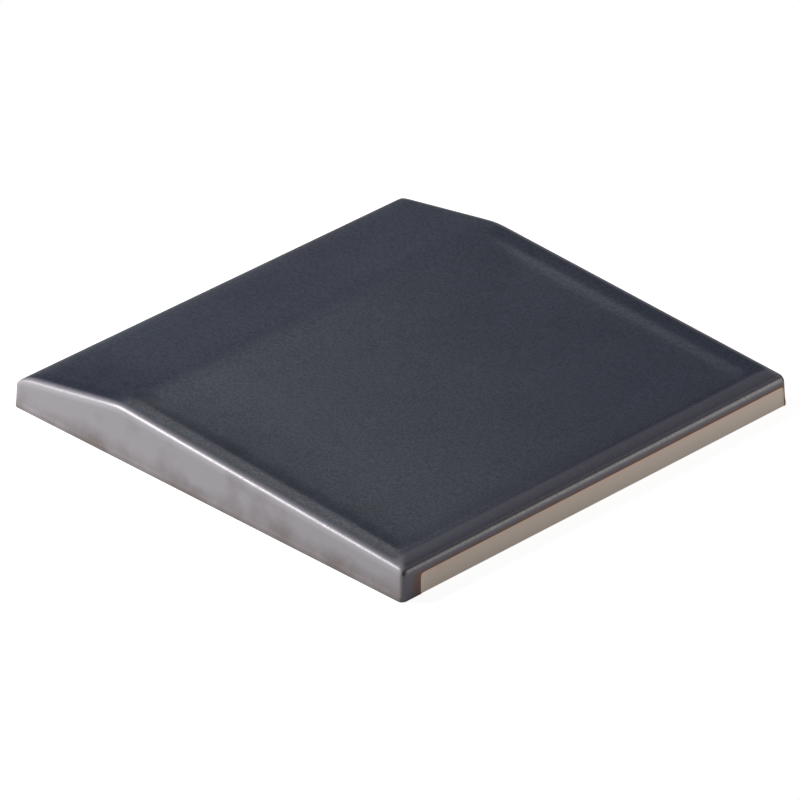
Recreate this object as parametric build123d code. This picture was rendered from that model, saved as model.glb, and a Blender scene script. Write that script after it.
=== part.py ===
from build123d import *
import math
import os

# Glazed relief wall tile, pressed and fired as one piece of clay.
# Millimetres. The origin is at the middle of the back face, which lies on Z = 0.
# +X runs from the short steep slope down the long gentle one, and Y runs along the ridge.

# Plan and section
SIDE = 125.0                 # square plan, measured at the foot
DRAFT = 2.3                  # degrees that each side leans in above the foot
CORNER_ROUND = 1.2           # plan round of the four upright corners
FOOT_HEIGHT = 1.3            # land at the bottom of the near and far sides, which are glazed
FOOT_STEP = 0.2              # how far that land stands out from the side above it
LOW_END_HEIGHT = 8.1         # height at the steep slope's end, before its edge is softened
HIGH_END_HEIGHT = 8.6        # height at the gentle slope's end
RIDGE_HEIGHT = 13.8          # height of the ridge, before it is rounded
RIDGE_FROM_LOW_END = 33.2    # the ridge's distance from the steep slope's end
RIDGE_ROUND = 25.0

# Soft margin of the top: a wide roll, then a tight arris, down to the sides all round
ROLL_RADIUS = 30.0
ROLL_START = 1.5             # degrees of slope where the roll begins
ROLL_END = 10.0              # and where it meets the arris
ARRIS_RADIUS = 1.4
LOW_ARRIS_RADIUS = 3.6       # the low end's arris is the softest
ARRIS_END = 72.0             # degrees of slope where the arris meets the side, at a faint crease

# Shallow panel sunk in the gentle slope, inside a rim
PANEL_DEPTH = 0.25
PANEL_RIM = 6.2              # from the tile's edge to the panel's
PANEL_FALL = 4.0             # degrees of slope of its four soft sides

# Bare clay on both ends, below the rim at which the glaze stops
GLAZE_THICKNESS = 0.15
BARE_HEIGHT = 4.7            # the glaze ends this far above the back face
GLAZE_WRAP_NEAR = 6.0        # glaze that comes round the near corners
GLAZE_WRAP_FAR = 1.2         # and round the far corners

# Keying pockets in the back
POCKET_SIDE = 14.5
POCKET_PITCH = 18.0
POCKET_COUNT = 6             # in each direction
POCKET_DEPTH = 0.8
POCKET_ROUND = 1.5
POCKET_TAPER = 25.0          # degrees

# Cutting bodies run past the tile, rise over its slopes and overlap its faces by these
CLEAR = 6.0
RISE = 3.0
OVERRUN = 0.05

HALF = SIDE / 2
RIDGE_X = RIDGE_FROM_LOW_END - HALF
STEEP_SLOPE = math.atan2(RIDGE_HEIGHT - LOW_END_HEIGHT, HALF + RIDGE_X)
GENTLE_SLOPE = math.atan2(RIDGE_HEIGHT - HIGH_END_HEIGHT, HALF - RIDGE_X)


def roof_corners():
    """The corners of the top's section: past the low end, the ridge, and past the high end."""
    low = Vector(-HALF - CLEAR, 0, LOW_END_HEIGHT - CLEAR * math.tan(STEEP_SLOPE))
    ridge = Vector(RIDGE_X, 0, RIDGE_HEIGHT)
    high = Vector(HALF + CLEAR, 0, HIGH_END_HEIGHT - CLEAR * math.tan(GENTLE_SLOPE))
    return low, ridge, high


def block(end_inset, side_inset, height):
    """The tile's drafted sides up to a height, inset from the square plan at its ends and its sides."""
    plan = RectangleRounded(SIDE - 2 * end_inset, SIDE - 2 * side_inset, CORNER_ROUND - end_inset)
    return extrude(plan, height, taper=DRAFT)


def above_roof():
    """Everything over the roof line."""
    roof = FilletPolyline(*roof_corners(), radius=RIDGE_ROUND)
    top = RIDGE_HEIGHT + CLEAR
    closing = Polyline(roof @ 1, (HALF + CLEAR, 0, top), (-HALF - CLEAR, 0, top), roof @ 0)
    section = make_face(Curve() + [roof, closing])
    return extrude(section, HALF + CLEAR, both=True)


def sine(degrees):
    return math.sin(math.radians(degrees))


def margin_section(plane, arris_radius=ARRIS_RADIUS):
    """What the soft margin takes off, drawn across an edge: local X points into the tile, Y off its top."""
    roll_width = ROLL_RADIUS * (sine(ROLL_END) - sine(ROLL_START))
    arris_width = arris_radius * (sine(ARRIS_END) - sine(ROLL_END))
    inner = (roll_width + arris_width - OVERRUN, 0)
    heading = Vector(-1, 0).rotate(Axis.Z, ROLL_START)
    roll = JernArc(inner, heading, ROLL_RADIUS, ROLL_END - ROLL_START)
    arris = JernArc(roll @ 1, roll % 1, arris_radius, ARRIS_END - ROLL_END)
    corner = arris @ 1
    outside = Polyline(corner, (-CLEAR, corner.Y), (-CLEAR, RISE), (inner[0], RISE), inner)
    return plane * make_face(Curve() + [roll, arris, outside])


def side_margin(sign):
    """The margin's cut along the near (sign -1) or far (sign +1) side, which follows the roof line."""
    lean = Plane(origin=(0, sign * (HALF - FOOT_STEP), 0), x_dir=(1, 0, 0), z_dir=(0, -1, 0))
    lean = lean.rotated((sign * DRAFT, 0, 0))
    stretch = 1 / math.cos(math.radians(DRAFT))
    points = [(point.X, point.Z * stretch) for point in roof_corners()]
    path = lean * FilletPolyline(*points, radius=RIDGE_ROUND)
    plane = Plane(origin=path @ 0, x_dir=(0, -sign, 0), z_dir=(path % 0) * -sign)
    return sweep(margin_section(plane), path=path)


def end_margin(sign, height, slope, arris_radius):
    """The margin's cut along the low end (sign -1) or the high end (sign +1)."""
    inward = Vector(-sign * math.cos(slope), 0, math.sin(slope))
    arris_x = HALF - height * math.tan(math.radians(DRAFT))
    plane = Plane(origin=(sign * arris_x, 0, height), x_dir=inward, z_dir=(0, sign, 0))
    return extrude(margin_section(plane, arris_radius), HALF + CLEAR, both=True)


def panel():
    """The room of the sunk panel: a tray with soft sides, square to the gentle slope."""
    high_x = HALF - PANEL_RIM
    low_x = RIDGE_X + RIDGE_ROUND * (STEEP_SLOPE + GENTLE_SLOPE) / 2
    middle_x = (high_x + low_x) / 2
    middle_z = RIDGE_HEIGHT - (middle_x - RIDGE_X) * math.tan(GENTLE_SLOPE)
    down_slope = (math.cos(GENTLE_SLOPE), 0, -math.sin(GENTLE_SLOPE))
    off_slope = (math.sin(GENTLE_SLOPE), 0, math.cos(GENTLE_SLOPE))
    plane = Plane(origin=(middle_x, 0, middle_z), x_dir=down_slope, z_dir=off_slope)
    length = (high_x - low_x) / math.cos(GENTLE_SLOPE)
    width = SIDE - 2 * PANEL_RIM
    run = 2 * PANEL_DEPTH / math.tan(math.radians(PANEL_FALL))
    over = plane * Pos(0, 0, PANEL_DEPTH) * Rectangle(length + run, width + run)
    floor = plane * Pos(0, 0, -PANEL_DEPTH) * Rectangle(length - run, width - run)
    return loft([floor, over], ruled=True)


def bare_strip(sign):
    """The room on one end from which the glaze is missing."""
    height = BARE_HEIGHT + CLEAR
    length = SIDE - GLAZE_WRAP_NEAR - GLAZE_WRAP_FAR
    middle = (GLAZE_WRAP_NEAR - GLAZE_WRAP_FAR) / 2
    return Pos(sign * HALF, middle, BARE_HEIGHT - height / 2) * Box(2 * CORNER_ROUND, length, height)


def keying():
    """The grid of shallow tapered pockets that holds the mortar."""
    mouth = RectangleRounded(POCKET_SIDE, POCKET_SIDE, POCKET_ROUND)
    pocket = extrude(mouth, POCKET_DEPTH, taper=POCKET_TAPER)
    places = GridLocations(POCKET_PITCH, POCKET_PITCH, POCKET_COUNT, POCKET_COUNT)
    return [place * pocket for place in places]


def tile():
    body = block(0, FOOT_STEP, RIDGE_HEIGHT + CLEAR) - above_roof() - panel()
    body -= [side_margin(-1), side_margin(1)]
    body -= end_margin(-1, LOW_END_HEIGHT, STEEP_SLOPE, LOW_ARRIS_RADIUS)
    body -= end_margin(1, HIGH_END_HEIGHT, GENTLE_SLOPE, ARRIS_RADIUS)
    clay = body & block(GLAZE_THICKNESS, FOOT_STEP + GLAZE_THICKNESS, RIDGE_HEIGHT)
    foot = block(0, 0, FOOT_HEIGHT)
    glazed = (body + foot) - [bare_strip(-1), bare_strip(1)]
    return (glazed + clay) - keying()


os.makedirs("parts", exist_ok=True)
result = tile()
result.label = "tile"
export_step(result, "parts/tile.step")
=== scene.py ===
import math

import bmesh
import bpy
from bpy.props import FloatProperty, IntProperty, PointerProperty, StringProperty
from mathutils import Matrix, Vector


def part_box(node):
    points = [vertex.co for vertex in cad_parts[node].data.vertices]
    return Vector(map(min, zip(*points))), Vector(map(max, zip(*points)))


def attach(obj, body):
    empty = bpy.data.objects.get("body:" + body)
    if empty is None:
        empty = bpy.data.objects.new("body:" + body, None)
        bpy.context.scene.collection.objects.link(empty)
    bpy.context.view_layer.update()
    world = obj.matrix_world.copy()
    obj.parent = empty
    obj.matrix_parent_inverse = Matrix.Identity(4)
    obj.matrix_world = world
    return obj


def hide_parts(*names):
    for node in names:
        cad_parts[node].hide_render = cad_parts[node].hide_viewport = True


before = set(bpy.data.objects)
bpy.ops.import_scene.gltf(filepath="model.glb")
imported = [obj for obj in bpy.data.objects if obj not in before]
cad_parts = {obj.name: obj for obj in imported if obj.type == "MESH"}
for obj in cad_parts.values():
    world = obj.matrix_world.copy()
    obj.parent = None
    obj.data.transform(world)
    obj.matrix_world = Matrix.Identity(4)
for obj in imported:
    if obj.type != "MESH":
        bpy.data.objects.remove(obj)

bl_info = {
    "name": "Relief wall tile",
    "version": (1, 0, 0),
    "blender": (4, 5, 0),
    "location": "View3D > Sidebar > Tile",
    "description": "Adds a square wall tile with two sloping faces, dark glaze and bare clay ends",
    "category": "Add Mesh",
}

MM = 0.001
NODE = "tile"
BODY = "root"
CAD_LOW, CAD_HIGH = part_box(NODE)
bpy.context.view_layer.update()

# A vertex within CLOSE of a place lies on it, and SLACK keeps a test clear of the vertices on its limit
CLOSE = 0.02 * MM
SLACK = 0.1 * MM
# The bare clay's place among the tile's materials, after the glaze
BARE = 1

# Rings of the top's soft margin, from the arris to the rim's crest: mm in from the near side, the far side,
# the high end and the low end, and how many mm the top has fallen there
MARGIN = (
    (0.0, 0.0, 0.0, 0.0, 2.15),
    (0.3, 0.3, 0.3, 1.3, 1.2),
    (1.1, 1.1, 1.1, 3.1, 0.64),
    (2.4, 2.8, 2.4, 4.8, 0.34),
    (3.6, 4.8, 3.8, 6.6, 0.13),
    (4.8, 6.6, 5.2, 8.5, 0.0),
)
# Rings of the panel's sloping border: mm in from the near side, the far side, the high end and the ridge's
# softening, and the share of the panel's depth reached there
BORDER = (
    (5.9, 8.1, 6.6, 3.5, 0.3),
    (7.6, 9.9, 8.4, 9.0, 0.7),
    (9.8, 12.0, 10.8, 17.0, 1.0),
)
# Cuts that meet at an upright corner, in mm in from the end and from the side, and the shares of the corner's
# radius by which they are drawn in to round it
CORNER = ((0.0, 0.0, 0.29, 0.29), (0.3, 0.0, 0.29, 0.11), (0.0, 0.3, 0.11, 0.29), (0.3, 0.3, 0.29, 0.29))
# Half the height over which the foot steps out
FOOT_SOFT = 0.15 * MM
# Vertices this near an end or a side, seen in plan, belong to its edge
EDGE_REACH = 0.5 * MM
# How far in the wall of the step from the glaze to the bare clay slopes
STEP_SLOPE = 0.15 * MM
# The keying pockets' taper, and the rounding of their upright edges and of their floors
POCKET_TAPER = math.radians(25)
POCKET_ROUND = 1.5 * MM
POCKET_FLOOR_ROUND = 0.3 * MM

# How thin the glaze is, as a share: on the near and far sides, at their upright corners, on the high end's
# margin with its width in mm, and at the arrises of the sides and the ends with what they lose per mm
# inwards.
# On the arrises the share also paints the glow beside the highlights, and on the high end's margin it paints
# light on the tilted margin as well as its browner thin glaze
SIDE_THIN, CORNER_THIN = 1.0, 0.8
MARGIN_THIN_AND_LIGHT, MARGIN_WIDTH = 0.16, 4.5
SIDE_ARRIS, SIDE_LOSS = 0.95, 0.6
END_ARRIS, END_LOSS = 0.5, 0.45
# Places on the top, in the panel's near trough, where the glaze is darkest, as pooled glaze and painted
# shade, and their radius, in mm, and how dark they are
POOLS_AND_SHADE = (
    (-25.7, -55.6, 2.8, 2.0),
    (2.9, -54.8, 3.0, 0.9),
    (27.0, -53.5, 3.5, 0.5),
    (42.0, -53.0, 4.0, 0.4),
    (51.0, -52.8, 4.5, 0.4),
)
# Patterns in the glaze: how many of their grains or blots lie in a metre, their detail and its roughness
GLAZE_PATTERNS = (
    (1600.0, 2.0, 0.6),      # mottle, 0.6 mm
    (55.0, 3.0, 0.5),        # clouds, 18 mm
    (130.0, 2.0, 0.5),       # blots of pooled glaze, 8 mm
    (90.0, 4.0, 0.55),       # blots of burn, 11 mm
    (160.0, 4.0, 0.5),       # the wander of the burn's edge, 6 mm
    (80.0, 1.0, 0.5),        # the slow ripple left by the press, 12 mm
)
# A real clay's grit of 0.2 mm is too fine to show, so it is drawn at 0.6 mm
CLAY_GRIT = 1800.0
# A Mix node's two colours and its mixed colour, which go by number because other sockets have the same names
COLOUR_A, COLOUR_B, MIXED = 6, 7, 2

# The floor's radius, how far below the back it lies, and the light that only the camera sees on it
FLOOR_RADIUS, FLOOR_GAP, FLOOR_GLOW = 0.14, 0.02 * MM, 0.9
# Each light's name, its direction from the tile, its distance and the side of its square, in metres
LIGHTS = (
    ("key_light", (-0.62, -0.45, 0.64), 0.95, 0.35),
    ("window", (-0.5, 0.36, 0.775), 0.72, 0.3),
    ("low_window", (-0.74, 0.62, 0.27), 0.9, 0.4),
    ("fill_light", (0.76, 0.61, 0.12), 0.8, 0.36),
)
# The photo's camera, as fitted to the tile's outline: degrees round from -Y towards +X and degrees up, its
# distance in mm, and how many mm to the right of the origin and above it in the picture it aims
AZIMUTH, ELEVATION, DISTANCE = 44.80, 29.5875, 2009.95
AIM_RIGHT, AIM_UP = -0.128, 1.08
# Its focal length in pixels of a picture FRAME pixels wide, and its sensor's width in mm
FOCAL, FRAME, SENSOR = 8813.8, 800, 36.0


class TileSizes(bpy.types.PropertyGroup):
    side: FloatProperty(
        name="Side", description="Side of the square plan at the foot",
        default=CAD_HIGH.x - CAD_LOW.x, unit="LENGTH")
    draft: FloatProperty(
        name="Draft", description="Lean of each side, which lets the pressed clay leave its mould",
        default=math.radians(2.3), subtype="ANGLE")
    low_end: FloatProperty(
        name="Low end", description="Height at the end of the steep slope",
        default=8.1 * MM, unit="LENGTH")
    high_end: FloatProperty(
        name="High end", description="Height at the end of the gentle slope",
        default=8.6 * MM, unit="LENGTH")
    ridge: FloatProperty(
        name="Ridge", description="Height of the ridge before it is softened",
        default=CAD_HIGH.z + 0.13 * MM, unit="LENGTH")
    ridge_place: FloatProperty(
        name="Ridge place", description="Distance of the ridge from the low end",
        default=33.2 * MM, unit="LENGTH")
    ridge_round: FloatProperty(
        name="Ridge round", description="How far the ridge's softening reaches to each side",
        default=4.5 * MM, unit="LENGTH")
    panel_depth: FloatProperty(
        name="Panel depth", description="How far the panel in the gentle slope lies below its rim",
        default=0.42 * MM, unit="LENGTH")
    low_fall: FloatProperty(
        name="Low fall", description="How much further the low end's arris has fallen than the others",
        default=0.2 * MM, unit="LENGTH")
    band: FloatProperty(
        name="Band", description="Height of the band at the top of the sides, which softens into the arris",
        default=2.7 * MM, unit="LENGTH")
    corner: FloatProperty(
        name="Corner", description="Plan radius of the four upright corners",
        default=1.2 * MM, unit="LENGTH")
    foot_height: FloatProperty(
        name="Foot height", description="Height of the land at the bottom of the glazed sides",
        default=1.3 * MM, unit="LENGTH")
    foot_step: FloatProperty(
        name="Foot step", description="How far that land stands out",
        default=0.2 * MM, unit="LENGTH")
    bare_height: FloatProperty(
        name="Bare height", description="Height of the bare clay on both ends",
        default=4.95 * MM, unit="LENGTH")
    # The bare clay ends at cuts of the top, so both wraps are taken from the rings
    wrap_near: FloatProperty(
        name="Near wrap", description="How far the glaze comes round the near corners, up to a cut",
        default=BORDER[0][0] * MM, unit="LENGTH")
    wrap_far: FloatProperty(
        name="Far wrap", description="How far the glaze comes round the far corners, up to a cut",
        default=MARGIN[2][1] * MM, unit="LENGTH")
    glaze: FloatProperty(
        name="Glaze", description="Thickness of the glaze where it stops above the bare clay",
        default=0.15 * MM, unit="LENGTH")
    pocket_side: FloatProperty(
        name="Pocket side", description="Side of one keying pocket in the back",
        default=14.5 * MM, unit="LENGTH")
    pocket_pitch: FloatProperty(
        name="Pocket pitch", description="Distance from pocket to pocket",
        default=18.0 * MM, unit="LENGTH")
    pocket_depth: FloatProperty(
        name="Pocket depth", description="Depth of a keying pocket",
        default=0.8 * MM, unit="LENGTH")
    pocket_count: IntProperty(
        name="Pockets", description="Keying pockets in each direction",
        default=6, min=1)


class TileColours(bpy.types.PropertyGroup):
    glaze: StringProperty(
        name="Glaze", description="Slate glaze on the top", default="#313744")
    # The deep glaze also paints shade in the panel's near trough and towards its high end border
    glaze_deep_and_shade: StringProperty(
        name="Deep glaze", description="Glaze where it pooled or darkened", default="#121727")
    wash: StringProperty(
        name="Thin glaze", description="Thin glaze on the upright sides", default="#a8a4a9")
    stain: StringProperty(
        name="Stain", description="Brown burn in the thin glaze", default="#6b5d57")
    # On the arrises this lighter colour also paints the glow beside the highlights, and on the high end's
    # margin painted light
    edge: StringProperty(
        name="Broken glaze", description="Glaze on arrises and lips", default="#7b767f")
    # Colour of the dark line drawn along the crest of the high end's arris, above its highlight
    crest: StringProperty(
        name="Crest", description="Line along the high end's arris, where the glaze drew back",
        default="#4a4143")
    burn: StringProperty(
        name="Burn", description="Dark brown glaze near the bare clay", default="#84685d")
    rust: StringProperty(
        name="Rust line", description="Iron colour where the glaze stops", default="#a8683f")
    clay: StringProperty(
        name="Clay", description="Bare fired clay", default="#f5e5d6")
    clay_pink: StringProperty(
        name="Flashed clay", description="Clay flashed pink next to the glaze", default="#fae0ce")
    clay_dark: StringProperty(
        name="Soiled clay", description="Specks and soil on the bare clay", default="#8f7b6c")


class StageSettings(bpy.types.PropertyGroup):
    key_power: FloatProperty(
        name="Key light", description="Power of the key light at the front left",
        default=12.4, subtype="POWER")
    window_power: FloatProperty(
        name="Window", description="Power of the large dim light that the glaze mirrors",
        default=0.44, subtype="POWER")
    low_window_power: FloatProperty(
        name="Low window", description="Power of the dim light that the steep slope mirrors",
        default=0.04, subtype="POWER")
    fill_power: FloatProperty(
        name="Fill light", description="Power of the low fill light at the high end",
        default=1.8, subtype="POWER")
    room_light: FloatProperty(
        name="Room light", description="Strength of the room's soft light",
        default=0.105, min=0)
    floor: StringProperty(
        name="Floor", description="Colour of the floor",
        default="#a6a6a6")


def linear(code):
    """An sRGB hex value as linear red, green, blue and alpha."""
    parts = [int(code[at:at + 2], 16) / 255 for at in (1, 3, 5)]
    return [p / 12.92 if p <= 0.04045 else ((p + 0.055) / 1.055) ** 2.4 for p in parts] + [1.0]


def empty_tree(owner):
    """Gives a new material or world an empty node tree."""
    owner.use_nodes = True
    owner.node_tree.nodes.clear()
    return owner.node_tree


def add(tree, kind, inputs=(), **settings):
    """Adds a shader node with its settings, and with its inputs set to values or linked to sockets.

    The inputs are given in the node's own order, or by their names or numbers.
    """
    made = tree.nodes.new("ShaderNode" + kind)
    for name, value in settings.items():
        setattr(made, name, value)
    for key, value in inputs.items() if isinstance(inputs, dict) else enumerate(inputs):
        if isinstance(value, bpy.types.NodeSocket):
            tree.links.new(value, made.inputs[key])
        else:
            made.inputs[key].default_value = value
    return made


def deselect():
    """Leaves object mode with nothing selected, so that what comes next acts on nothing else."""
    if bpy.context.object and bpy.context.object.mode != "OBJECT":
        bpy.ops.object.mode_set(mode="OBJECT")
    bpy.ops.object.select_all(action="DESELECT")


def apply_modifier(piece, kind, **settings):
    """Adds a modifier with its settings to the active piece and applies it."""
    modifier = piece.modifiers.new(kind.title(), kind)
    for name, value in settings.items():
        setattr(modifier, name, value)
    bpy.ops.object.modifier_apply(modifier=modifier.name)


def cut(place, axis):
    """Cuts the mesh being edited all round, square to an axis, at a place along it."""
    bpy.ops.mesh.select_all(action="SELECT")
    normal = Vector((axis == "X", axis == "Y", axis == "Z"))
    bpy.ops.mesh.bisect(plane_co=normal * place, plane_no=normal)


def cut_between(low, high, parts, axis):
    """Cuts the mesh being edited into equal parts between two places along an axis."""
    for step in range(1, parts):
        cut(low + (high - low) * step / parts, axis)


def select(test):
    """Selects the vertices being edited whose place passes the test, and the faces between them."""
    bpy.ops.mesh.select_all(action="DESELECT")
    data = bpy.context.edit_object.data
    mesh = bmesh.from_edit_mesh(data)
    for vertex in mesh.verts:
        vertex.select_set(test(vertex.co))
    mesh.select_flush(True)
    bmesh.update_edit_mesh(data)


def move(x=0.0, y=0.0, z=0.0):
    """Moves what is selected in the mesh being edited."""
    bpy.ops.transform.translate(value=(x, y, z))


def near(a, b):
    """Whether two places along an axis are the same."""
    return abs(a - b) < CLOSE


def half_plan(sizes):
    """Half the blank's length along X, and half its width along Y, where the foot has yet to step out."""
    end = sizes.side / 2
    return end, end - sizes.foot_step


def slope_height(sizes, x):
    """Height of the two slopes at a place along X, before anything is softened."""
    end = sizes.side / 2
    ridge_x = sizes.ridge_place - end
    if x < ridge_x:
        return sizes.low_end + (sizes.ridge - sizes.low_end) * (x + end) / (ridge_x + end)
    return sizes.high_end + (sizes.ridge - sizes.high_end) * (end - x) / (end - ridge_x)


def block(sizes):
    """Adds the blank, square and flat-topped, and cuts its top where the tile changes slope."""
    end, side = half_plan(sizes)
    height = sizes.ridge
    bpy.ops.mesh.primitive_cube_add(size=1, location=(0, 0, height / 2), scale=(2 * end, 2 * side, height))
    bpy.ops.object.transform_apply(location=True, rotation=False, scale=True)
    bpy.ops.object.mode_set(mode="EDIT")
    for ring in MARGIN[1:] + BORDER:
        cut(ring[0] * MM - side, "Y")
        cut(side - ring[1] * MM, "Y")
        cut(end - ring[2] * MM, "X")
    for ring in MARGIN[1:]:
        cut(ring[3] * MM - end, "X")
    ridge_x = sizes.ridge_place - end
    start = ridge_x + sizes.ridge_round
    for place in (ridge_x - sizes.ridge_round, ridge_x, start):
        cut(place, "X")
    for ring in BORDER:
        cut(start + ring[3] * MM, "X")
    # The panel's floor is flat, so a few cuts are enough there
    near_y, far_y, high_x, ridge_x = (distance * MM for distance in BORDER[-1][:4])
    cut_between(near_y - side, side - far_y, parts=5, axis="Y")
    cut_between(start + ridge_x, end - high_x, parts=4, axis="X")


def rows(sizes):
    """Cuts the sides at the foot, the bare clay's top and the band under the arris."""
    lip = sizes.bare_height
    foot = sizes.foot_height
    for place in (foot - FOOT_SOFT, foot + FOOT_SOFT, (foot + lip) / 2, lip, sizes.ridge - sizes.band):
        cut(place, "Z")


def shape_top(sizes):
    """Lowers the rings of the soft margin and the panel, then each cut to the height of the two slopes."""
    top = sizes.ridge
    band = top - sizes.band
    end, side = half_plan(sizes)
    start = sizes.ridge_place - end + sizes.ridge_round
    for ring, inner in zip(MARGIN, MARGIN[1:]):
        near_y, far_y, high_x, low_x = (distance * MM - SLACK for distance in inner[:4])
        select(lambda v: v.z > band + SLACK
               and (side + v.y < near_y or side - v.y < far_y or end - v.x < high_x or end + v.x < low_x))
        move(z=(inner[4] - ring[4]) * MM)
    select(lambda v: v.z > band + SLACK and near(v.x, -end))
    move(z=-sizes.low_fall)
    reached = 0.0
    for ring in BORDER:
        near_y, far_y, high_x, ridge_x = (distance * MM - SLACK for distance in ring[:4])
        select(lambda v: v.z > band + SLACK and side + v.y > near_y and side - v.y > far_y
               and end - v.x > high_x and v.x - start > ridge_x)
        move(z=(reached - ring[4]) * sizes.panel_depth)
        reached = ring[4]
    mesh = bmesh.from_edit_mesh(bpy.context.edit_object.data)
    for place in sorted({round(v.co.x / MM, 3) for v in mesh.verts}):
        select(lambda v: near(v.x, place * MM) and v.z > band - SLACK)
        move(z=slope_height(sizes, place * MM) - top)


def shape_sides(sizes):
    """Rounds the four upright corners, stands the foot out at the near and far sides, and opens the back."""
    end, side = half_plan(sizes)
    for x_sign, y_sign in ((-1, -1), (-1, 1), (1, -1), (1, 1)):
        for from_end, from_side, x_share, y_share in CORNER:
            x = x_sign * (end - from_end * MM)
            y = y_sign * (side - from_side * MM)
            select(lambda v: near(v.x, x) and near(v.y, y))
            move(x=-x_sign * x_share * sizes.corner, y=-y_sign * y_share * sizes.corner)
    for sign in (-1, 1):
        select(lambda v: side - EDGE_REACH < sign * v.y and v.z < sizes.foot_height)
        move(y=sign * sizes.foot_step)
    select(lambda v: near(v.z, 0))
    bpy.ops.mesh.delete(type="ONLY_FACE")


def set_in_clay(sizes):
    """Sets the bare clay of both ends in behind the glaze, and gives it the clay's own material slot."""
    end, side = half_plan(sizes)
    low_y = sizes.wrap_near - side - SLACK
    high_y = side - sizes.wrap_far + SLACK
    for sign in (-1, 1):
        select(lambda v: near(v.x, sign * end) and v.z < sizes.bare_height + SLACK and low_y < v.y < high_y)
        bpy.context.object.active_material_index = BARE
        bpy.ops.object.material_slot_assign()
        bpy.ops.mesh.inset(thickness=STEP_SLOPE, depth=-sizes.glaze, use_boundary=False)


def store_thin_glaze(piece, sizes):
    """Stores on the cage how thin the glaze is, from 0 on the top over the arrises to 1 on the sides; on the
    arrises and the high end's margin the share also paints the glow beside the highlights and light on the
    tilted margin.
    """
    end, side = half_plan(sizes)
    thin = piece.data.attributes.new("thin_glaze_and_glow", "FLOAT", "POINT")
    for vertex in piece.data.vertices:
        v = vertex.co
        from_side = max(0.0, side - abs(v.y)) / MM
        from_end = max(0.0, end - abs(v.x)) / MM
        share = max(0.0, SIDE_ARRIS - from_side * SIDE_LOSS, END_ARRIS - from_end * END_LOSS)
        if 0.0 < end - v.x < MARGIN_WIDTH * MM:
            # The glaze ran off the high end's margin, thin and browner, and the lighter colour there is also
            # painted light on the tilted margin
            share = max(share, MARGIN_THIN_AND_LIGHT)
        if from_side < SLACK / MM:
            share = CORNER_THIN if from_end < EDGE_REACH / MM else SIDE_THIN
        thin.data[vertex.index].value = share


def keying(piece, sizes):
    """Presses the grid of shallow pockets into the back."""
    deselect()
    depth = sizes.pocket_depth
    # How far the cutter starts below the back
    below = 1.0 * MM
    bpy.ops.mesh.primitive_cube_add(size=1, location=(0, 0, (depth - below) / 2),
                                    scale=(sizes.pocket_side, sizes.pocket_side, depth + below))
    cutter = bpy.context.object
    bpy.ops.object.transform_apply(location=True, rotation=False, scale=True)
    bpy.ops.object.mode_set(mode="EDIT")
    select(lambda v: v.z > 0)
    shrink = 1 - 2 * depth * math.tan(POCKET_TAPER) / sizes.pocket_side
    bpy.ops.transform.resize(value=(shrink, shrink, 1), center_override=(0, 0, depth))
    data = bmesh.from_edit_mesh(cutter.data)
    for edge in data.edges:
        edge.select_set(abs((edge.verts[0].co - edge.verts[1].co).z) > depth)
    bmesh.update_edit_mesh(cutter.data)
    bpy.ops.mesh.bevel(offset=POCKET_ROUND, segments=4)
    select(lambda v: near(v.z, depth))
    bpy.ops.mesh.bevel(offset=POCKET_FLOOR_ROUND, segments=2)
    bpy.ops.object.mode_set(mode="OBJECT")
    for axis in (0, 1):
        offset = [0.0, 0.0, 0.0]
        offset[axis] = sizes.pocket_pitch
        apply_modifier(cutter, "ARRAY", count=sizes.pocket_count, use_relative_offset=False,
                       use_constant_offset=True, constant_offset_displace=offset)
    shift = -sizes.pocket_pitch * (sizes.pocket_count - 1) / 2
    cutter.location = (shift, shift, 0)
    bpy.ops.object.transform_apply(location=True)
    deselect()
    piece.select_set(True)
    bpy.context.view_layer.objects.active = piece
    apply_modifier(piece, "BOOLEAN", object=cutter, operation="DIFFERENCE", solver="EXACT")
    bpy.data.objects.remove(cutter)
    # The whole back is bare clay, with the pockets' floors and their walls, which the taper tips down by 0.42
    highest = 1.1 * depth
    least_tip = 0.3
    for face in piece.data.polygons:
        if face.center.z < highest and face.normal.z < -least_tip:
            face.material_index = BARE


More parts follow.
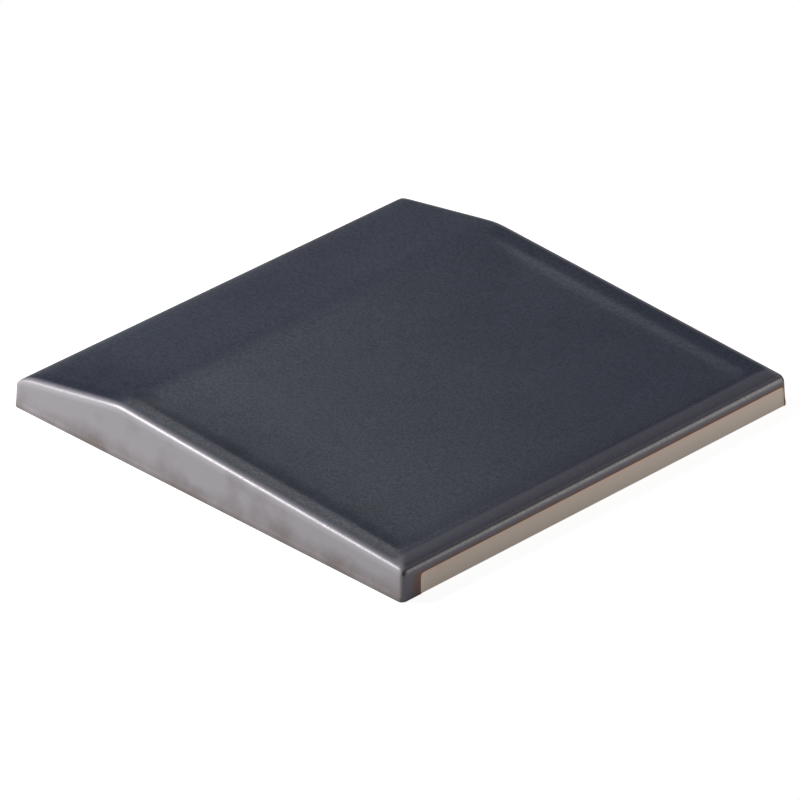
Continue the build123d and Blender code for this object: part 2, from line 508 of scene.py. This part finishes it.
def satin_slate_glaze(colours, sizes):
    """Satin slate glaze, sprayed on and fired.

    The eye gets a dark blue grey with a fine mottle under a soft sheen, thin and light on the upright sides,
    rust brown where it stops on the clay.
    """
    material = bpy.data.materials.new("satin_slate_glaze")
    tree = empty_tree(material)
    place = add(tree, "TexCoord").outputs["Object"]
    x, y, z = add(tree, "SeparateXYZ", (place,)).outputs
    end, side = half_plan(sizes)
    grain, cloud, pooled, burnt, wander, ripple = (
        add(tree, "TexNoise", {
            "Vector": place, "Scale": scale, "Detail": detail, "Roughness": roughness}).outputs["Fac"]
        for scale, detail, roughness in GLAZE_PATTERNS)
    mottle = add(tree, "MapRange", (grain, 0.38, 0.62, 0.0, 0.74)).outputs[0]
    clouded = add(tree, "MapRange", (cloud, 0.35, 0.7, 0.0, 0.16)).outputs[0]
    dark = add(tree, "Math", (mottle, clouded), operation="ADD").outputs[0]
    # Glaze that pooled along the near border of the panel is darker, in blots; this darkening also paints the
    # shade of the panel's near trough
    pool_and_shade = add(tree, "MapRange", (y, -36 * MM, -55 * MM, 0.0, 0.38),
               interpolation_type="SMOOTHSTEP").outputs[0]
    blots = add(tree, "MapRange", (pooled, 0.38, 0.62, 0.5, 1.0)).outputs[0]
    pool_and_shade = add(tree, "Math", (pool_and_shade, blots), operation="MULTIPLY").outputs[0]
    for pool_x, pool_y, radius, depth in POOLS_AND_SHADE:
        middle = (pool_x * MM, pool_y * MM, slope_height(sizes, pool_x * MM))
        reach = add(tree, "VectorMath", (place, middle), operation="DISTANCE").outputs["Value"]
        spot = add(tree, "MapRange", (reach, 0.4 * radius * MM, 1.6 * radius * MM, depth, 0.0),
                   interpolation_type="SMOOTHSTEP").outputs[0]
        spot = add(tree, "Math", (spot, blots), operation="MULTIPLY").outputs[0]
        pool_and_shade = add(tree, "Math", (pool_and_shade, spot), operation="MAXIMUM").outputs[0]
    # Painted shade from 50 mm along X to the high end, on the inner slope of the panel's high end border,
    # kept off the far border
    high_border_shade = add(tree, "MapRange", (x, 50 * MM, 55 * MM, 0.0, 0.2)).outputs[0]
    kept = add(tree, "MapRange", (y, 52 * MM, 48 * MM)).outputs[0]
    high_border_shade = add(tree, "Math", (high_border_shade, kept), operation="MULTIPLY").outputs[0]
    pool_and_shade = add(tree, "Math", (pool_and_shade, high_border_shade), operation="MAXIMUM").outputs[0]
    dark = add(tree, "Math", (dark, pool_and_shade), operation="ADD").outputs[0]
    # Thin glaze, with brown burn low down
    low = add(tree, "MapRange", (z, 6.0 * MM, 0.3 * MM, 0.0, 0.45)).outputs[0]
    burnt = add(tree, "Math", (burnt, low), operation="ADD").outputs[0]
    stained = add(tree, "MapRange", (burnt, 0.55, 1.05, 0.0, 0.75)).outputs[0]
    wash = add(tree, "Mix", {
        "Factor": stained, COLOUR_A: linear(colours.wash), COLOUR_B: linear(colours.stain)},
        data_type="RGBA").outputs[MIXED]
    # From the slate over the browner glaze of arrises and lips to the wash; on the arrises the lighter
    # colours also paint the glow beside the highlights
    thin = add(tree, "Attribute", attribute_name="thin_glaze_and_glow").outputs["Fac"]
    ragged = add(tree, "MapRange", (grain, 0.0, 1.0, -0.08, 0.08)).outputs[0]
    ragged = add(tree, "Math", (thin, ragged), operation="ADD").outputs[0]
    broken_and_glow = add(tree, "MapRange", (ragged, 0.03, 0.42), interpolation_type="SMOOTHSTEP").outputs[0]
    washed = add(tree, "MapRange", (ragged, 0.6, 0.8), interpolation_type="SMOOTHSTEP").outputs[0]
    # The dark line along the crest of the high end's arris, which stops at the upright corners
    crest = add(tree, "MapRange", (x, end - 1.0 * MM, end - 0.75 * MM, 0.0, 0.7)).outputs[0]
    past = add(tree, "MapRange", (x, end - 0.3 * MM, end - 0.42 * MM)).outputs[0]
    above = add(tree, "MapRange", (z, 6.2 * MM, 6.6 * MM)).outputs[0]
    for share in (past, above):
        crest = add(tree, "Math", (crest, share), operation="MULTIPLY").outputs[0]
    # Distance from the bare clay, for the burnt brown and the rust line at the glaze's edge on both ends
    over = add(tree, "Math", (z, sizes.bare_height), operation="SUBTRACT").outputs[0]
    near_y = add(tree, "Math", (sizes.wrap_near - side, y), operation="SUBTRACT").outputs[0]
    far_y = add(tree, "Math", (y, side - sizes.wrap_far), operation="SUBTRACT").outputs[0]
    beside = add(tree, "Math", (near_y, far_y), operation="MAXIMUM").outputs[0]
    away = add(tree, "Math", (over, beside), operation="MAXIMUM").outputs[0]
    # Beside the clay the burn is four times as wide as over it, and its edge wanders by about half a mm
    beside = add(tree, "Math", (beside, 0.25), operation="MULTIPLY").outputs[0]
    burnt_away = add(tree, "Math", (over, beside), operation="MAXIMUM").outputs[0]
    wander = add(tree, "MapRange", (wander, 0.0, 1.0, -1.0 * MM, 1.0 * MM)).outputs[0]
    burnt_away = add(tree, "Math", (burnt_away, wander), operation="ADD").outputs[0]
    brown = add(tree, "MapRange", (burnt_away, 0.5 * MM, 1.0 * MM, 0.85, 0.0),
                interpolation_type="SMOOTHSTEP").outputs[0]
    rust = add(tree, "MapRange", (away, 0.15 * MM, 0.4 * MM, 0.9, 0.0)).outputs[0]
    at_end = add(tree, "Math", (x,), operation="ABSOLUTE").outputs[0]
    at_end = add(tree, "MapRange", (at_end, end - 0.7 * MM, end - 0.5 * MM)).outputs[0]
    brown = add(tree, "Math", (brown, at_end), operation="MULTIPLY").outputs[0]
    rust = add(tree, "Math", (rust, at_end), operation="MULTIPLY").outputs[0]
    # The colours, each laid over the one before
    colour = linear(colours.glaze)
    for share, laid in (
            (dark, linear(colours.glaze_deep_and_shade)), (broken_and_glow, linear(colours.edge)), (washed, wash),
            (crest, linear(colours.crest)), (brown, linear(colours.burn)), (rust, linear(colours.rust))):
        colour = add(tree, "Mix", {
            "Factor": share, COLOUR_A: colour, COLOUR_B: laid}, data_type="RGBA").outputs[MIXED]
    # The surface: the press's slow ripple, and over it the fine grain of a satin glaze
    slow = add(tree, "Bump", {"Strength": 1.0, "Distance": 0.03 * MM, "Height": ripple}).outputs[0]
    fine = add(tree, "Bump", {
        "Strength": 1.0, "Distance": 0.01 * MM, "Height": grain, "Normal": slow}).outputs[0]
    rough = add(tree, "MapRange", (grain, 0.3, 0.7, 0.28, 0.38)).outputs[0]
    shader = add(tree, "BsdfPrincipled", {
        "Base Color": colour, "Roughness": rough, "IOR": 1.55, "Normal": fine}).outputs[0]
    add(tree, "OutputMaterial", {"Surface": shader})
    return material


def bare_biscuit_clay(colours):
    """Dust-pressed white clay, fired and left bare.

    The eye gets a chalky cream face without a sheen, flashed pink under the glaze and specked all over.
    """
    material = bpy.data.materials.new("bare_biscuit_clay")
    tree = empty_tree(material)
    place = add(tree, "TexCoord").outputs["Object"]
    z = add(tree, "SeparateXYZ", (place,)).outputs["Z"]
    grain = add(tree, "TexNoise", {"Vector": place, "Scale": CLAY_GRIT, "Detail": 3.0}).outputs["Fac"]
    flash = add(tree, "MapRange", (z, 3.2 * MM, 4.5 * MM)).outputs[0]
    speck = add(tree, "MapRange", (grain, 0.66, 0.76, 0.0, 0.4)).outputs[0]
    colour = linear(colours.clay)
    for share, laid in ((flash, colours.clay_pink), (speck, colours.clay_dark)):
        colour = add(tree, "Mix", {
            "Factor": share, COLOUR_A: colour, COLOUR_B: linear(laid)}, data_type="RGBA").outputs[MIXED]
    bump = add(tree, "Bump", {"Strength": 1.0, "Distance": 0.05 * MM, "Height": grain}).outputs[0]
    shader = add(tree, "BsdfPrincipled", {
        "Base Color": colour, "Roughness": 0.9, "IOR": 1.5, "Normal": bump}).outputs[0]
    add(tree, "OutputMaterial", {"Surface": shader})
    return material


def matt_white_floor(stage):
    """Matt white card, plain and unprinted.

    The eye gets a white ground without a sheen, on which only the tile's own faint shadow shows.
    """
    material = bpy.data.materials.new("matt_white_floor")
    tree = empty_tree(material)
    rays = add(tree, "LightPath").outputs
    diffuse = add(tree, "BsdfDiffuse", {"Color": linear(stage.floor)}).outputs[0]
    # What only the camera sees on top of the light the floor gets, so that it is white outside the shadow
    lift = add(tree, "Math", (rays["Is Camera Ray"], FLOOR_GLOW), operation="MULTIPLY").outputs[0]
    glow = add(tree, "Emission", {"Strength": lift}).outputs[0]
    both = add(tree, "AddShader", (diffuse, glow)).outputs[0]
    add(tree, "OutputMaterial", {"Surface": both})
    return material


class RELIEFTILE_OT_tile(bpy.types.Operator):
    """Adds the glazed tile"""
    bl_idname = "relief_tile.add_tile"
    bl_label = "Add tile"

    def execute(self, context):
        sizes = context.scene.tile_sizes
        colours = context.scene.tile_colours
        deselect()
        block(sizes)
        piece = context.object
        piece.name = piece.data.name = "glazed_tile"
        for material in (satin_slate_glaze(colours, sizes), bare_biscuit_clay(colours)):
            piece.data.materials.append(material)
        rows(sizes)
        shape_top(sizes)
        shape_sides(sizes)
        set_in_clay(sizes)
        bpy.ops.object.mode_set(mode="OBJECT")
        store_thin_glaze(piece, sizes)
        # The taper's factor is what the plan loses, as a share, from the back to the ridge
        apply_modifier(piece, "SIMPLE_DEFORM", deform_method="TAPER", deform_axis="Z",
                       factor=-math.tan(sizes.draft) * sizes.ridge / (sizes.side / 2))
        apply_modifier(piece, "SUBSURF", levels=3, render_levels=3)
        bpy.ops.object.mode_set(mode="EDIT")
        select(lambda v: near(v.z, 0))
        bpy.ops.mesh.edge_face_add()
        bpy.ops.mesh.select_all(action="SELECT")
        bpy.ops.mesh.normals_make_consistent(inside=False)
        bpy.ops.object.mode_set(mode="OBJECT")
        keying(piece, sizes)
        bpy.ops.object.shade_smooth_by_angle(angle=math.radians(35))
        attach(piece, BODY)
        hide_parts(NODE)
        return {"FINISHED"}


class RELIEFTILE_OT_stage(bpy.types.Operator):
    """Adds the floor, the lights and the camera"""
    bl_idname = "relief_tile.add_stage"
    bl_label = "Add stage"

    def execute(self, context):
        stage = context.scene.tile_stage
        deselect()
        bpy.ops.mesh.primitive_circle_add(
            vertices=96, radius=FLOOR_RADIUS, fill_type="NGON", location=(0, 0, -FLOOR_GAP))
        floor = context.object
        floor.name = "floor"
        bpy.ops.object.transform_apply(location=True)
        floor.data.materials.append(matt_white_floor(stage))
        self.light_room(context, stage)
        self.add_camera(context)
        context.scene.view_settings.view_transform = "Standard"
        return {"FINISHED"}

    def light_room(self, context, stage):
        """Adds a key at the front left, two dim lights for the glaze to mirror, a fill and a dim room."""
        powers = (stage.key_power, stage.window_power, stage.low_window_power, stage.fill_power)
        for (name, toward, distance, size), power in zip(LIGHTS, powers):
            toward = Vector(toward).normalized()
            bpy.ops.object.light_add(type="AREA", location=toward * distance,
                                     rotation=toward.to_track_quat("Z", "Y").to_euler())
            light = context.object
            light.name = name
            light.data.size = size
            light.data.energy = power
        world = bpy.data.worlds.new("studio")
        context.scene.world = world
        tree = empty_tree(world)
        rays = add(tree, "LightPath").outputs
        # The camera sees white past the floor, and the glaze mirrors the dim room
        seen = add(tree, "Math", (rays["Is Camera Ray"], rays["Is Transmission Ray"]),
                   operation="MAXIMUM").outputs[0]
        strength = add(tree, "Mix", {"Factor": seen, "A": stage.room_light, "B": 1.0}).outputs[0]
        background = add(tree, "Background", {"Color": (1, 1, 1, 1), "Strength": strength}).outputs[0]
        add(tree, "OutputWorld", {"Surface": background})

    def add_camera(self, context):
        """Adds the photo's camera."""
        azimuth = math.radians(AZIMUTH)
        elevation = math.radians(ELEVATION)
        back = Vector((math.sin(azimuth) * math.cos(elevation), -math.cos(azimuth) * math.cos(elevation),
                       math.sin(elevation)))
        right = Vector((math.cos(azimuth), math.sin(azimuth), 0))
        up = back.cross(right)
        aim = right * AIM_RIGHT * MM + up * AIM_UP * MM
        bpy.ops.object.camera_add(location=aim + back * DISTANCE * MM,
                                  rotation=back.to_track_quat("Z", "Y").to_euler())
        camera = context.object
        camera.name = "camera"
        camera.data.sensor_width = SENSOR
        camera.data.lens = SENSOR * FOCAL / FRAME
        camera.data.clip_end = 20.0
        context.scene.camera = camera


class RELIEFTILE_PT_panel(bpy.types.Panel):
    """Sizes and colours of the tile, and its stage"""
    bl_idname = "RELIEFTILE_PT_panel"
    bl_label = "Relief tile"
    bl_space_type = "VIEW_3D"
    bl_region_type = "UI"
    bl_category = "Tile"

    def draw(self, context):
        layout = self.layout
        for group in (context.scene.tile_sizes, context.scene.tile_colours, context.scene.tile_stage):
            box = layout.box()
            for name in group.__annotations__:
                box.prop(group, name)
        layout.operator(RELIEFTILE_OT_tile.bl_idname)
        layout.operator(RELIEFTILE_OT_stage.bl_idname)


CLASSES = (TileSizes, TileColours, StageSettings,
           RELIEFTILE_OT_tile, RELIEFTILE_OT_stage, RELIEFTILE_PT_panel)


def register():
    for each in CLASSES:
        bpy.utils.register_class(each)
    bpy.types.Scene.tile_sizes = PointerProperty(type=TileSizes)
    bpy.types.Scene.tile_colours = PointerProperty(type=TileColours)
    bpy.types.Scene.tile_stage = PointerProperty(type=StageSettings)


def unregister():
    del bpy.types.Scene.tile_stage
    del bpy.types.Scene.tile_colours
    del bpy.types.Scene.tile_sizes
    for each in reversed(CLASSES):
        bpy.utils.unregister_class(each)


def main():
    register()
    bpy.ops.relief_tile.add_tile()
    bpy.ops.relief_tile.add_stage()


if __name__ == "__main__":
    main()
